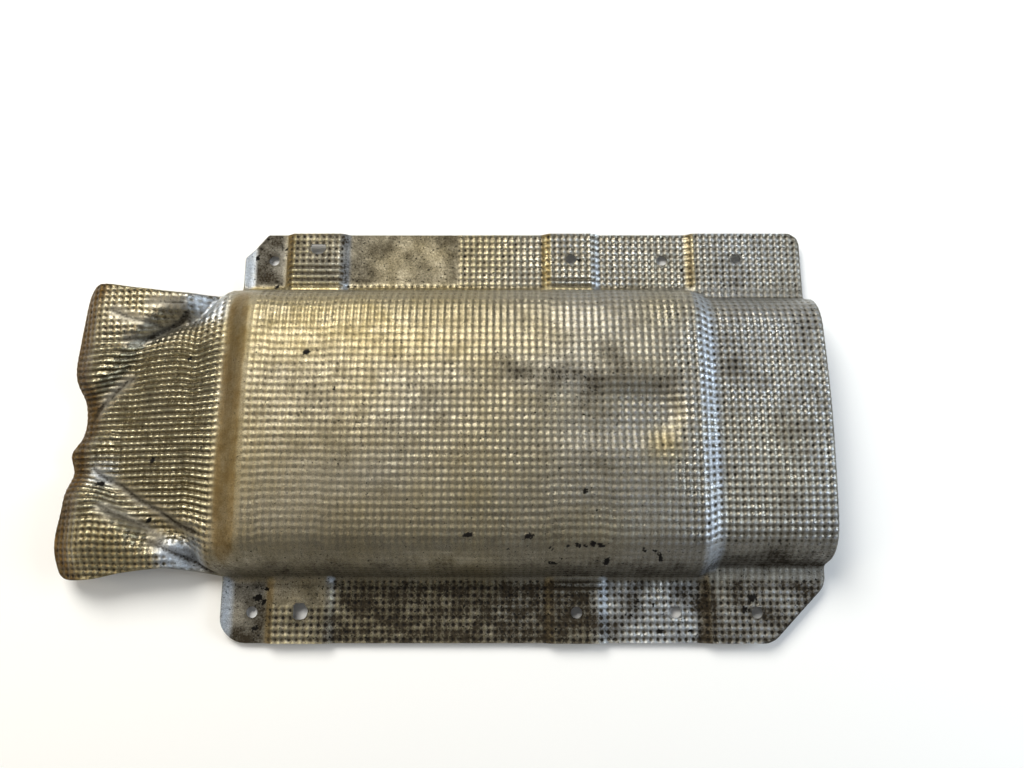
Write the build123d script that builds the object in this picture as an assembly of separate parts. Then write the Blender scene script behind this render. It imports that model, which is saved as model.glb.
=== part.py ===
from build123d import *
import os
import numpy as np

# Exhaust heat shield: one sheet of embossed aluminium, pressed into a tunnel between two bolting flanges.
# X runs along the tunnel, Y across it, Z up. The origin is the middle of the four bolt holes in the flat
# flange areas, on their underside. Lengths are in millimetres and angles in degrees.

wall = 1.0  # sheet over its embossed height

# Flanges
flange_length = 430.0  # along X, both flanges
flange_half_width = 153.0  # from the middle line to the outer edge
left_hole_inset = 21.5  # of the left pair of holes, from the flanges' left end
flat_hole_inset = 106.5  # of the right pair in the flat, from the right end
left_end = (flat_hole_inset - left_hole_inset - flange_length) / 2
right_end = left_end + flange_length
upper_left_cut = (16.0, 20.0)  # along X and along Y
lower_right_cut = (40.0, 40.0)
upper_left_round = 3.0  # at both ends of the cut
upper_right_round = 10.0
lower_right_round = 16.0  # at both ends of the cut
lower_left_round = 18.0
corner_reach = 48.0  # from a corner of the flanges to past its cut and rounds
lip_width = 9.0  # left end of each flange, curled up
lip_rise = 3.0

# Raised pads, measured at the middle of their ramps
pad_height = 3.5
pad_ramp = 9.0
pad_left_middle = left_end + 56.0
pad_left_length = 43.0
pad_middle_middle = 80.0
pad_middle_length = 39.0
pad_right_start = right_end - 85.0  # this pad runs on to the end of the flange

# Bolt holes
hole_diameter = 8.0
hole_inset = 21.0  # of both rows, from the flanges' outer edges
hole_row = flange_half_width - hole_inset
left_hole = left_end + left_hole_inset
middle_hole = pad_middle_middle
flat_hole = right_end - flat_hole_inset
right_hole = pad_right_start + 35.5
worn_hole_diameter = 11.0  # the two left pads' holes, pulled wide in use
worn_hole_upper = flange_half_width - 11.0  # the Y of each
worn_hole_lower = 22.0 - flange_half_width

# Tunnel
flange_width = 46.0  # from the foot of the wall to the outer edge
tunnel_half_width = flange_half_width - flange_width
tunnel_height = 46.5
crown_radius = 600.0
shoulder_radius = 30.0
shoulder_radius_left = 24.0  # where the tunnel ends in the skirt
base_radius = 5.5
wall_lean = 18.0  # from upright

# Step down to the lower land at the right end
step_start = right_end - 96.0
step_length = 22.0
step_end = step_start + step_length
step_drop = 6.0
step_narrowing = 7.0  # each side
step_sweep = 6.0  # how far the step bends to the right at the foot of the wall

# Bead pressed into the crown
bead_length = 149.0
bead_end = step_start
bead_start = bead_end - bead_length
bead_middle = 5.0
bead_half_width = 30.0
bead_depth = 4.5
bead_floor = 0.25  # share of its half width that is at full depth

# Left shoulder and the ramp below it
shoulder_start = left_end + 23.0
shoulder_end = left_end - 2.0
shoulder_drop = 9.0
ramp_start = left_end + 10.0
ramp_slope = 0.24
ramp_bend = 20.0  # half the length over which the ramp bends down

# Gathered skirt at the left end
skirt_length = 123.0  # to just past the furthest point of its edge
skirt_start = left_end
skirt_end = skirt_start - skirt_length
skirt_drop = 2.0  # how far the foot of the hips falls below the flange
hip_narrowing = 45.0  # most that the tunnel narrows by on each side
hip_length = 75.0  # over which it does about two thirds of that
hip_start = 12.0  # softens the corner where the hips begin
hip_lean = 50.0  # of the hips' slope, from upright
hip_turn = 30.0  # over which the wall's lean becomes the hips'
lobe_height = 27.0
lobe_run = 40.0  # along X, over which the lobes reach their height
valley_reach = 0.56 * tunnel_half_width  # from the tongue's middle to a lobe's foot, near the flanges
valley_closing = 0.43 * tunnel_half_width  # how much nearer the middle that is at the skirt's edge
valley_closes = (35.0, 108.0)  # where this happens, left of the flanges' end
lobe_width = 0.32 * tunnel_half_width  # over which a lobe rises
tongue_shift = 8.0  # of the tongue's middle line at the skirt's edge, towards -Y
upper_lobe_crest = 0.93 * tunnel_half_width  # where each lobe begins to fall outwards again
lower_lobe_crest = 0.73 * tunnel_half_width
lobe_fall = 0.35  # share of its height that a lobe has lost at its outer side
lobe_fall_run = 0.32 * tunnel_half_width
rim_width = 38.0  # the part of the skirt that curls down at its edge
rim_loss = 0.55  # share of its height that the sheet has lost at the edge
fold_width = 8.0

# Places on the skirt are shares: of its length, counted from the flanges' end, and of the tunnel's half width
# across. The edge is worn and goes in and out.
skirt_edge = (
    [(0.0, 0.963), (0.244, 0.911), (0.528, 0.939), (0.748, 0.972), (0.837, 0.953)]
    + [(0.894, 0.822), (0.915, 0.664), (0.935, 0.467), (0.919, 0.299), (0.866, 0.056)]
    + [(0.882, -0.075), (0.943, -0.196), (0.919, -0.346), (0.927, -0.542), (0.955, -0.738)]
    + [(0.943, -0.907), (0.886, -1.009), (0.715, -1.014), (0.528, -0.972), (0.293, -0.944)]
    + [(0.13, -0.972), (0.0, -1.0)]
)

# Folds pressed into the skirt and ridges standing up from it: the places where each starts and ends, and
# then its depth or height in millimetres
folds = [
    (0.691, -0.374, 0.407, -0.589, 2.5),
    (0.407, -0.589, 0.106, -0.804, 2.5),
    (0.431, -0.757, 0.171, -0.879, 2.5),
    (0.715, 0.579, 0.504, 0.607, 2.5),
    (0.504, 0.607, 0.244, 0.738, 2.5),
]
ridges = [
    (0.967, -0.187, 0.683, -0.093, 3.5),
]

pads = [(pad_left_middle, pad_left_length), (pad_middle_middle, pad_middle_length)]
beyond = 6.0  # how far the pressing runs past the trimmed outline
flange_share = 4.0  # the share at which half_section reaches the flange
spread_width = tunnel_half_width + 5.0  # how far across the skirt its points are spread
spread_run = 30.0  # over which they become evenly spread
blend_run = 12.0  # over which the valleys and folds set in
valley_softness = 10.0  # rounds the line where tongue and lobe meet
small = 0.001  # a step for finding slopes
closest_sections = 4.0
side_points = 7  # steps of the section from the flange to the crown
fine_count = 401


def soft_step(value, start, end):
    """0 before start, 1 after end, and a smooth curve between."""
    part = np.clip((value - start) / (end - start), 0.0, 1.0)
    return part**3 * (10 - 15 * part + 6 * part**2)


def pad_lift(x):
    """Height of the flange above its flat level at x."""
    half = pad_ramp / 2
    lift = soft_step(x, pad_right_start - half, pad_right_start + half)
    for middle, length in pads:
        lift = lift + soft_step(length / 2 - np.abs(x - middle), -half, half)
    into_lip = np.clip((left_end + lip_width - x) / lip_width, 0.0, 1.0)
    skirt_fall = skirt_drop * soft_step(skirt_start - x, 0.0, skirt_length)
    return pad_height * lift + lip_rise * into_lip**2 - skirt_fall


def tunnel_values(x):
    """Half width, height, lean in radians and shoulder radius of the section at x."""
    step = soft_step(x, step_start, step_end)
    into_skirt = np.clip(skirt_start - x, 0.0, None)
    past_ramp = np.clip(ramp_start + ramp_bend - x, 0.0, None)
    in_bend = np.clip(past_ramp, 0.0, 2 * ramp_bend)
    fall = shoulder_drop * soft_step(-x, -shoulder_start, -shoulder_end)
    fall = fall + ramp_slope * (in_bend**2 / (4 * ramp_bend) + past_ramp - in_bend)
    half_width = tunnel_half_width - step_narrowing * step
    past_corner = into_skirt**2 / (into_skirt + hip_start)
    half_width = half_width - hip_narrowing * (1 - np.exp(-past_corner / hip_length))
    height = tunnel_height - step_drop * step - fall
    lean = wall_lean + (hip_lean - wall_lean) * soft_step(into_skirt, 0.0, hip_turn)
    shoulder = shoulder_radius_left - shoulder_radius
    shoulder = shoulder_radius + shoulder * soft_step(-x, -shoulder_start, -skirt_start)
    return half_width, height, np.radians(lean), shoulder


def half_section(x, share):
    """Y and Z of the underside at x. The share's whole part picks the stretch, counted from the
    middle: crown, shoulder, wall, base fillet, flange. Its fraction is the place on the stretch."""
    distance = np.abs(share)
    shifted = x - step_sweep * np.clip(distance / flange_share, 0.0, 1.0) ** 3 * (x > 0)
    half_width, height, lean, shoulder = tunnel_values(shifted)
    lift = pad_lift(x)
    cos, sin = np.cos(lean), np.sin(lean)
    # The shoulder's centre is one radius inside the wall line and on a circle about the crown's centre.
    reach = half_width * cos - shoulder
    crown_z = height - crown_radius
    inner = crown_radius - shoulder
    square = 1 + (sin / cos) ** 2
    linear = -2 * reach * sin / cos**2 - 2 * crown_z
    constant = (reach / cos) ** 2 + crown_z**2 - inner**2
    centre_z = (-linear + np.sqrt(linear**2 - 4 * square * constant)) / (2 * square)
    centre_y = (reach - centre_z * sin) / cos
    crown_angle = np.arctan2(centre_y, centre_z - crown_z)
    wall_angle = np.pi / 2 - lean
    # The base fillet's centre is one radius above the flange and one radius outside the wall line.
    base_z = lift + base_radius
    base_y = (half_width * cos + base_radius - base_z * sin) / cos
    top = (centre_y + shoulder * cos, centre_z + shoulder * sin)
    foot = (base_y - base_radius * cos, base_z - base_radius * sin)
    edge = flange_half_width + beyond
    stretch = np.minimum(np.floor(distance), flange_share)
    part = distance - stretch
    on_crown = crown_angle * part
    on_shoulder = crown_angle + (wall_angle - crown_angle) * part
    on_base = lean + wall_angle * part
    y = np.select(
        [stretch == 0, stretch == 1, stretch == 2, stretch == 3],
        [
            crown_radius * np.sin(on_crown),
            centre_y + shoulder * np.sin(on_shoulder),
            top[0] + (foot[0] - top[0]) * part,
            base_y - base_radius * np.cos(on_base),
        ],
        base_y + (edge - base_y) * part,
    )
    z = np.select(
        [stretch == 0, stretch == 1, stretch == 2, stretch == 3],
        [
            crown_z + crown_radius * np.cos(on_crown),
            centre_z + shoulder * np.cos(on_shoulder),
            top[1] + (foot[1] - top[1]) * part,
            base_z - base_radius * np.sin(on_base),
        ],
        lift,
    )
    return np.sign(share) * y, z


def bead(x, y):
    """Depth of the bead: round at its right end and fading out to the left."""
    across = (y - bead_middle) / bead_half_width
    ahead = np.clip((x - (bead_end - bead_half_width)) / bead_half_width, 0.0, None)
    rim = 1 - soft_step(np.sqrt(across**2 + ahead**2), bead_floor, 1.0)
    return bead_depth * rim * soft_step(x, bead_start, bead_end - bead_half_width / 2)


def skirt_place(along, across):
    """X and Y of a place on the skirt given as shares."""
    return skirt_start - along * skirt_length, across * tunnel_half_width


def swell(x, y, lines):
    """How far the highest of some lines' bell-shaped swellings reaches at a point."""
    highest = 0.0 * x
    for start_along, start_across, end_along, end_across, rise in lines:
        start_x, start_y = skirt_place(start_along, start_across)
        end_x, end_y = skirt_place(end_along, end_across)
        run_x, run_y = end_x - start_x, end_y - start_y
        along = ((x - start_x) * run_x + (y - start_y) * run_y) / (run_x**2 + run_y**2)
        along = np.clip(along, 0.0, 1.0)
        away = np.hypot(x - start_x - along * run_x, y - start_y - along * run_y)
        highest = np.maximum(highest, rise * np.exp(-((away / fold_width) ** 2)))
    return highest


def raised_skirt(x, y, z):
    """Raises the sheet outside the hips into the two lobes and presses the folds in."""
    into_skirt = np.clip(skirt_start - x, 0.0, None)
    closing = soft_step(into_skirt, *valley_closes)
    inner = valley_reach - valley_closing * closing
    away = np.abs(y + tongue_shift * closing)
    crest = np.where(y > 0, upper_lobe_crest, lower_lobe_crest)
    lobe = lobe_height * soft_step(into_skirt, 0.0, lobe_run) * soft_step(away, inner, inner + lobe_width)
    lobe = lobe * (1 - lobe_fall * soft_step(np.abs(y), crest, crest + lobe_fall_run))
    valley = valley_softness * soft_step(into_skirt, 0.0, blend_run)
    raised = (z + lobe + np.sqrt((z - lobe) ** 2 + valley**2)) / 2
    creased = swell(x, y, ridges) - swell(x, y, folds)
    raised = raised + creased * soft_step(into_skirt, 0.0, blend_run)
    raised = np.where(into_skirt > 0, raised, z)
    return raised * (1 - rim_loss * soft_step(skirt_start - x, skirt_length - rim_width, skirt_length))


def underside(x, share):
    """The pressed underside as arrays of X, Y and Z, one row of the arrays for each section."""
    y, z = half_section(x, share)
    fine = np.linspace(0.0, flange_share, fine_count)[None, :] + 0 * x[:, :1]
    fine_y, fine_z = half_section(x[:, :1] + 0 * fine, fine)
    # Over the skirt the points spread evenly across, so that they can follow the lobes.
    spread = soft_step(skirt_start - x, 0.0, spread_run)
    even_y = spread_width * np.sign(share) * travelled(np.abs(share))
    y = y + spread * (even_y - y)
    for row in np.flatnonzero(spread[:, 0] > 0):
        z[row] = np.interp(np.abs(y[row]), fine_y[row], fine_z[row])
    return x, y, raised_skirt(x, y, z - bead(x, y))


def outer_skin(x, share):
    """The underside moved out by the wall, within each section's own plane."""
    ahead, behind = underside(x + small, share), underside(x - small, share)
    left, right = underside(x, share - small), underside(x, share + small)
    along = np.array([ahead[k] - behind[k] for k in range(3)])
    across = np.array([right[k] - left[k] for k in range(3)])
    normal = np.cross(along, across, axis=0)
    normal = normal / np.linalg.norm(normal, axis=0)
    in_plane = normal[1] ** 2 + normal[2] ** 2
    x, y, z = underside(x, share)
    return x, y + wall * normal[1] / in_plane, z + wall * normal[2] / in_plane


def evenly(*stops):
    """Values through the stops: each stop after the first is (value, number of steps to it)."""
    values = [stops[0]]
    for end, steps in stops[1:]:
        values += list(np.linspace(values[-1], end, steps + 1)[1:])
    return np.array(values)


def stations():
    """Where the sections stand along X, close together at bends."""
    half = pad_ramp / 2
    bends = [evenly(skirt_end - beyond, (skirt_start, 8), (left_end + lip_width, 2), (shoulder_start, 2))]
    bends += [[pad_right_start - half, pad_right_start + half, right_end]]
    for middle, length in pads:
        start, end = middle - length / 2, middle + length / 2
        bends += [[start - half, start + half, end - half, end + half]]
    bends = np.concatenate(bends)
    between = [evenly(bead_start, (bead_end - bead_half_width, 1), (bead_end, 2))]
    between += [evenly(step_start, (step_end, 3)), [step_end + step_sweep]]
    between = np.unique(np.concatenate(between))
    apart = np.min(np.abs(between[:, None] - bends[None, :]), axis=1) > closest_sections
    return np.unique(np.concatenate([bends, between[apart]]))


def shares():
    """Where the section's points lie, in the stretches of half_section."""
    half = evenly(0.0, (1.0, 7), (2.0, 3), (3.0, 1), (flange_share, 3))
    return np.concatenate([-half[:0:-1], half])


def travelled(share):
    """How far along the tunnel's section a share lies, from 0 in the middle to 1 at the flange."""
    fine = np.linspace(0.0, flange_share, fine_count)
    y, z = half_section(0 * fine, fine)
    length = np.concatenate([[0.0], np.cumsum(np.hypot(np.diff(y), np.diff(z)))])
    return np.interp(share, fine, length / length[-1])


def along(points):
    """How far along the row each point lies, as a share of the row's length."""
    steps = np.linalg.norm(np.diff(points, axis=0), axis=1)
    gone = np.concatenate([[0.0], np.cumsum(steps)])
    return gone / gone[-1]


def course(points, knots, index):
    """The curve's direction and pace at a point: level at the flanges, else from the chords beside it."""
    before, after = max(index - 1, 0), min(index + 1, len(points) - 1)
    if after - before < 2:
        pace = (points[after] - points[before]) / (knots[after] - knots[before])
        return (0.0, float(np.sign(pace[1]) * np.linalg.norm(pace)), 0.0)
    back = (points[index] - points[before]) / (knots[index] - knots[before])
    ahead = (points[after] - points[index]) / (knots[after] - knots[index])
    weight = (knots[index] - knots[before]) / (knots[after] - knots[before])
    return tuple(back * (1 - weight) + ahead * weight)


def curve(points, knots):
    """Three smooth edges through the points, in line with each other: side, crown and side."""
    last = len(points) - 1
    joints = [0, side_points, last - side_points, last]
    turns = [course(points, knots, index) for index in joints]
    edges = []
    for number in range(3):
        first, final = joints[number], joints[number + 1]
        stretch = [tuple(point) for point in points[first : final + 1]]
        edges.append(
            Edge.make_spline(
                stretch,
                tangents=[turns[number], turns[number + 1]],
                parameters=list(knots[first : final + 1]),
                scale=False,
            )
        )
    return edges


def section(lower, upper, knots):
    """The closed outline of the sheet in one section: flange, tunnel, flange, and back above."""
    edge = flange_half_width + beyond
    below_left, below_right, above_left, above_right = (
        (row[end][0], side * edge, row[end][2])
        for row in (lower, upper)
        for end, side in ((0, -1), (-1, 1))
    )
    return Wire(
        [
            Edge.make_line(below_left, tuple(lower[0])),
            *curve(lower, knots),
            Edge.make_line(tuple(lower[-1]), below_right),
            Edge.make_line(below_right, above_right),
            Edge.make_line(above_right, tuple(upper[-1])),
            *curve(upper[::-1], 1 - knots[::-1]),
            Edge.make_line(tuple(upper[0]), above_left),
            Edge.make_line(above_left, below_left),
        ]
    )


def pressed_sheet():
    """The whole pressing before it is trimmed: sections joined in straight stretches."""
    x, share = np.meshgrid(stations(), shares(), indexing="ij")
    # Rounded, so that neighbouring sections of one form are exactly alike.
    lower = np.round(np.stack(underside(x, share), axis=2), 6)
    upper = np.round(np.stack(outer_skin(x, share), axis=2), 6)
    knots = [along(row) for row in lower]
    return Solid.make_loft([section(*rows) for rows in zip(lower, upper, knots)], ruled=True)


def outline():
    """The sheet's outline seen from above: two flanges with worked corners, and the skirt's edge."""
    cut_x, cut_y = upper_left_cut
    low_x, low_y = lower_right_cut
    side = flange_half_width
    last = len(skirt_edge) - 1
    skirt = [skirt_place(along, across) for along, across in skirt_edge]
    flanges = FilletPolyline(
        skirt[0],
        (left_end, side - cut_y),
        (left_end + cut_x, side),
        (right_end, side),
        (right_end, low_y - side),
        (right_end - low_x, -side),
        (left_end, -side),
        skirt[last],
        radius=[
            upper_left_round,
            upper_left_round,
            upper_right_round,
            lower_right_round,
            lower_right_round,
            lower_left_round,
        ],
    )
    # Between its corners the right end is the pressing's own, and the outline reaches past it.
    past_end = Pos(right_end, 0) * Rectangle(2 * beyond, 2 * (side - corner_reach))
    return make_face([*flanges.edges(), Spline(*skirt)]) + past_end


def holes():
    """Every hole as (X, Y, diameter)."""
    rows = [
        (x, side * hole_row, hole_diameter)
        for x in (left_hole, middle_hole, flat_hole, right_hole)
        for side in (1, -1)
    ]
    worn = [(pad_left_middle, y, worn_hole_diameter) for y in (worn_hole_upper, worn_hole_lower)]
    return rows + worn


def heat_shield():
    """Press the sheet, trim it to the outline and pierce the holes."""
    low = -2 * beyond
    height = tunnel_height + 2 * beyond - low
    trimmed = extrude(Pos(0, 0, low) * outline(), height)
    shield = pressed_sheet() & trimmed
    for x, y, diameter in holes():
        shield = shield - Pos(x, y, 0) * Cylinder(diameter / 2, height)
    return shield


os.makedirs("parts", exist_ok=True)
part = heat_shield()
part.label = "heat_shield"
export_step(part, "parts/heat_shield.step")
print("solids", len(part.solids()), "faces", len(part.faces()))
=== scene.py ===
import math
import bpy
import numpy as np
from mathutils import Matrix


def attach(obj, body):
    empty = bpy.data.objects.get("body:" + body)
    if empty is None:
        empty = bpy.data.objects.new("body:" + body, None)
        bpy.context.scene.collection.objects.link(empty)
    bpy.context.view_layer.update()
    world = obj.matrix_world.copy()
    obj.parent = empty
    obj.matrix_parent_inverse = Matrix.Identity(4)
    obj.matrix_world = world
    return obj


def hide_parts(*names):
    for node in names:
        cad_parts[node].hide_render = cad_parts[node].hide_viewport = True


# A used exhaust heat shield: one sheet of embossed aluminium, pressed into a tunnel between two flanges.
# Dictionaries are in millimetres on the CAD model's axes: X along the tunnel, Y across it, Z up.

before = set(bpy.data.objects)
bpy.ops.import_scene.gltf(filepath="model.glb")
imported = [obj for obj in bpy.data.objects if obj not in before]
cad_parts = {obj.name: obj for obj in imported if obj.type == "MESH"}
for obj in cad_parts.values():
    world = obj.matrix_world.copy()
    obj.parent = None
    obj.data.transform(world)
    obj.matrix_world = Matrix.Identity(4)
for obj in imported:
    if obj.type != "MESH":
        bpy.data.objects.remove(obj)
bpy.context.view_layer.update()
mm = 0.001
print("frame loaded")

form = {
    "wall": 1.0,
    "leftEnd": -172.5,  # of both flanges
    "rightEnd": 257.5,
    "halfWidth": 153.0,
    "lipWidth": 9.0,  # left end of each flange, curled up
    "lipRise": 3.0,
    "padHeight": 3.5,
    "padRamp": 9.0,
    "pads": [(-116.5, 43.0), (80.0, 39.0)],  # middle and length
    "padRightStart": 172.5,
    "tunnelHalfWidth": 107.0,
    "tunnelHeight": 46.5,
    "crownRadius": 600.0,
    "shoulderRadius": 30.0,
    "shoulderRadiusLeft": 24.0,
    "baseRadius": 5.5,
    "wallLean": 18.0,  # degrees from upright
    "stepStart": 161.5,
    "stepEnd": 183.5,
    "stepDrop": 6.0,
    "stepNarrowing": 7.0,
    "stepSweep": 6.0,
    "beadStart": 12.5,
    "beadEnd": 161.5,
    "beadMiddle": 5.0,
    "beadHalfWidth": 30.0,
    "beadDepth": 4.5,
    "shoulderStart": -149.5,
    "shoulderEnd": -174.5,
    "shoulderDrop": 9.0,
    "rampStart": -162.5,
    "rampSlope": 0.24,
    "rampBend": 20.0,
    "skirtLength": 123.0,
    "skirtDrop": 2.0,
    "hipNarrowing": 45.0,
    "hipLength": 75.0,
    "hipStart": 12.0,
    "hipLean": 50.0,
    "hipTurn": 30.0,
    "lobeHeight": 27.0,
    "lobeRun": 40.0,
    "valleyReach": 60.0,  # from the tongue's middle to a lobe's foot, near the flanges
    "valleyClosing": 46.0,
    "valleyCloses": (35.0, 108.0),
    "lobeWidth": 34.0,
    "tongueShift": 8.0,
    "upperLobeCrest": 99.5,
    "lowerLobeCrest": 78.0,
    "lobeFall": 0.35,
    "lobeFallRun": 34.0,
    "rimWidth": 36.0,
    "rimLoss": 0.55,
    "foldWidth": 6.0,
    "blendRun": 12.0,
    "valleySoftness": 6.0,
    "beyond": 5.0,  # how far the sheet is made past its trimmed outline
    "flatFrom": 113.0,  # past this Y every section is flange
    "pitch": 5.0,  # of the embossed lattice
    "pitchesToFlat": 26,  # rows of the lattice from the middle line to flatFrom
}

# Folds pressed into the skirt and a ridge standing up: start X, Y, end X, Y, depth or height
folds = [
    (-257.5, -40.0, -222.5, -63.0, 2.5),
    (-222.5, -63.0, -185.5, -86.0, 2.5),
    (-225.5, -81.0, -193.5, -94.0, 3.0),
    (-260.5, 62.0, -234.5, 65.0, 2.5),
    (-234.5, 65.0, -202.5, 79.0, 2.5),
]
ridges = [(-291.5, -20.0, -256.5, -10.0, 3.5)]


def softStep(value, start, end):
    # 0 before start, 1 after end, a smooth quintic between
    part = np.clip((value - start) / (end - start), 0.0, 1.0)
    return part**3 * (10 - 15 * part + 6 * part**2)


def within(value, start, end, soft):
    # 1 between start and end, fading over soft on both sides
    return softStep(value, start - soft, start + soft) * softStep(-value, -end - soft, -end + soft)


def padLift(x):
    # height of the flange above its flat level: pads with smooth ramps, and the curled left lip
    half = form["padRamp"] / 2
    lift = softStep(x, form["padRightStart"] - half, form["padRightStart"] + half)
    for middle, length in form["pads"]:
        lift = lift + softStep(length / 2 - np.abs(x - middle), -half, half)
    intoLip = np.clip((form["leftEnd"] + form["lipWidth"] - x) / form["lipWidth"], 0.0, 1.0)
    fall = form["skirtDrop"] * softStep(form["leftEnd"] - x, 0.0, form["skirtLength"])
    return form["padHeight"] * lift + form["lipRise"] * intoLip**2 - fall


def tunnelValues(x):
    # half width, height, lean and shoulder radius of the section at x
    step = softStep(x, form["stepStart"], form["stepEnd"])
    intoSkirt = np.clip(form["leftEnd"] - x, 0.0, None)
    bend = form["rampBend"]
    pastRamp = np.clip(form["rampStart"] + bend - x, 0.0, None)
    inBend = np.clip(pastRamp, 0.0, 2 * bend)
    fall = form["shoulderDrop"] * softStep(-x, -form["shoulderStart"], -form["shoulderEnd"])
    fall = fall + form["rampSlope"] * (inBend**2 / (4 * bend) + pastRamp - inBend)
    pastCorner = intoSkirt**2 / (intoSkirt + form["hipStart"])
    halfWidth = form["tunnelHalfWidth"] - form["stepNarrowing"] * step
    halfWidth = halfWidth - form["hipNarrowing"] * (1 - np.exp(-pastCorner / form["hipLength"]))
    height = form["tunnelHeight"] - form["stepDrop"] * step - fall
    lean = form["hipLean"] - form["wallLean"]
    lean = form["wallLean"] + lean * softStep(intoSkirt, 0.0, form["hipTurn"])
    shoulder = form["shoulderRadiusLeft"] - form["shoulderRadius"]
    shoulder = form["shoulderRadius"] + shoulder * softStep(-x, -form["shoulderStart"], -form["leftEnd"])
    return halfWidth, height, np.radians(lean), shoulder


def halfSection(x, share):
    # Y and Z of the underside at x, for shares 0 to 5: crown arc, shoulder arc, wall line, base arc, flange.
    # Each arc's centre is one radius inside the lines it touches.
    shifted = x - form["stepSweep"] * np.clip(share / 4, 0.0, 1.0) ** 3 * (x > 0)
    halfWidth, height, lean, shoulder = tunnelValues(shifted)
    lift = padLift(x)
    crownRadius, baseRadius = form["crownRadius"], form["baseRadius"]
    cos, sin = np.cos(lean), np.sin(lean)
    reach = halfWidth * cos - shoulder
    crownZ = height - crownRadius
    square = 1 + (sin / cos) ** 2
    linear = -2 * reach * sin / cos**2 - 2 * crownZ
    constant = (reach / cos) ** 2 + crownZ**2 - (crownRadius - shoulder) ** 2
    centreZ = (-linear + np.sqrt(linear**2 - 4 * square * constant)) / (2 * square)
    centreY = (reach - centreZ * sin) / cos
    crownAngle = np.arctan2(centreY, centreZ - crownZ)
    wallAngle = np.pi / 2 - lean
    baseZ = lift + baseRadius
    baseY = (halfWidth * cos + baseRadius - baseZ * sin) / cos
    topY, topZ = centreY + shoulder * cos, centreZ + shoulder * sin
    footY, footZ = baseY - baseRadius * cos, baseZ - baseRadius * sin
    edge = form["halfWidth"] + form["beyond"]
    stretch = np.minimum(np.floor(share), 4)
    part = share - stretch
    onCrown = crownAngle * part
    onShoulder = crownAngle + (wallAngle - crownAngle) * part
    onBase = lean + wallAngle * part
    picks = [stretch == 0, stretch == 1, stretch == 2, stretch == 3]
    y = np.select(picks, [
        crownRadius * np.sin(onCrown),
        centreY + shoulder * np.sin(onShoulder),
        topY + (footY - topY) * part,
        baseY - baseRadius * np.cos(onBase),
    ], baseY + (edge - baseY) * part)
    z = np.select(picks, [
        crownZ + crownRadius * np.cos(onCrown),
        centreZ + shoulder * np.cos(onShoulder),
        topZ + (footZ - topZ) * part,
        baseZ - baseRadius * np.sin(onBase),
    ], lift)
    return y, z


def beadDepth(x, y):
    # round at its right end, fading out to the left
    across = (y - form["beadMiddle"]) / form["beadHalfWidth"]
    ahead = np.clip((x - form["beadEnd"]) / form["beadHalfWidth"] + 1, 0.0, None)
    rim = 1 - softStep(np.sqrt(across**2 + ahead**2), 0.25, 1.0)
    roundStart = form["beadEnd"] - form["beadHalfWidth"] / 2
    return form["beadDepth"] * rim * softStep(x, form["beadStart"], roundStart)


def awayFrom(x, y, startX, startY, endX, endY):
    # distance from a straight stretch, and the share of the way along it
    runX, runY = endX - startX, endY - startY
    along = np.clip(((x - startX) * runX + (y - startY) * runY) / (runX**2 + runY**2), 0.0, 1.0)
    return np.hypot(x - startX - along * runX, y - startY - along * runY), along


def swell(x, y, lines):
    # the highest of some lines' bell-shaped swellings
    highest = 0.0 * x
    for startX, startY, endX, endY, rise in lines:
        away, along = awayFrom(x, y, startX, startY, endX, endY)
        highest = np.maximum(highest, rise * np.exp(-((away / form["foldWidth"]) ** 2)))
    return highest


def raisedSkirt(x, y, z):
    # the higher of tunnel and lobe, softly joined, with folds and a ridge, and curled down at the rim
    intoSkirt = np.clip(form["leftEnd"] - x, 0.0, None)
    closing = softStep(intoSkirt, *form["valleyCloses"])
    inner = form["valleyReach"] - form["valleyClosing"] * closing
    away = np.abs(y + form["tongueShift"] * closing)
    crest = np.where(y > 0, form["upperLobeCrest"], form["lowerLobeCrest"])
    lobe = form["lobeHeight"] * softStep(intoSkirt, 0.0, form["lobeRun"])
    lobe = lobe * softStep(away, inner, inner + form["lobeWidth"])
    lobe = lobe * (1 - form["lobeFall"] * softStep(np.abs(y), crest, crest + form["lobeFallRun"]))
    blend = softStep(intoSkirt, 0.0, form["blendRun"])
    raised = (z + lobe + np.sqrt((z - lobe) ** 2 + (form["valleySoftness"] * blend) ** 2)) / 2
    raised = raised + (swell(x, y, ridges) - swell(x, y, folds)) * blend
    raised = np.where(intoSkirt > 0, raised, z)
    rim = softStep(form["leftEnd"] - x, form["skirtLength"] - form["rimWidth"], form["skirtLength"])
    return raised * (1 - form["rimLoss"] * rim)


def seededWaves(x, y, count, shortest, longest, seed):
    # smooth noise of about -1 to 1: a sum of plane waves with random headings, lengths and phases
    random = np.random.default_rng(seed)
    total = 0.0 * x
    for heading, length, phase in zip(
        random.uniform(0, 2 * np.pi, count),
        random.uniform(shortest, longest, count),
        random.uniform(0, 2 * np.pi, count),
    ):
        total = total + np.sin(2 * np.pi * (x * np.cos(heading) + y * np.sin(heading)) / length + phase)
    return total / math.sqrt(count)


wear = {
    "embossHeight": 0.85,  # low to high on the flat flanges
    "dents": 0.25,
    "skirtDents": 0.9,
}

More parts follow.
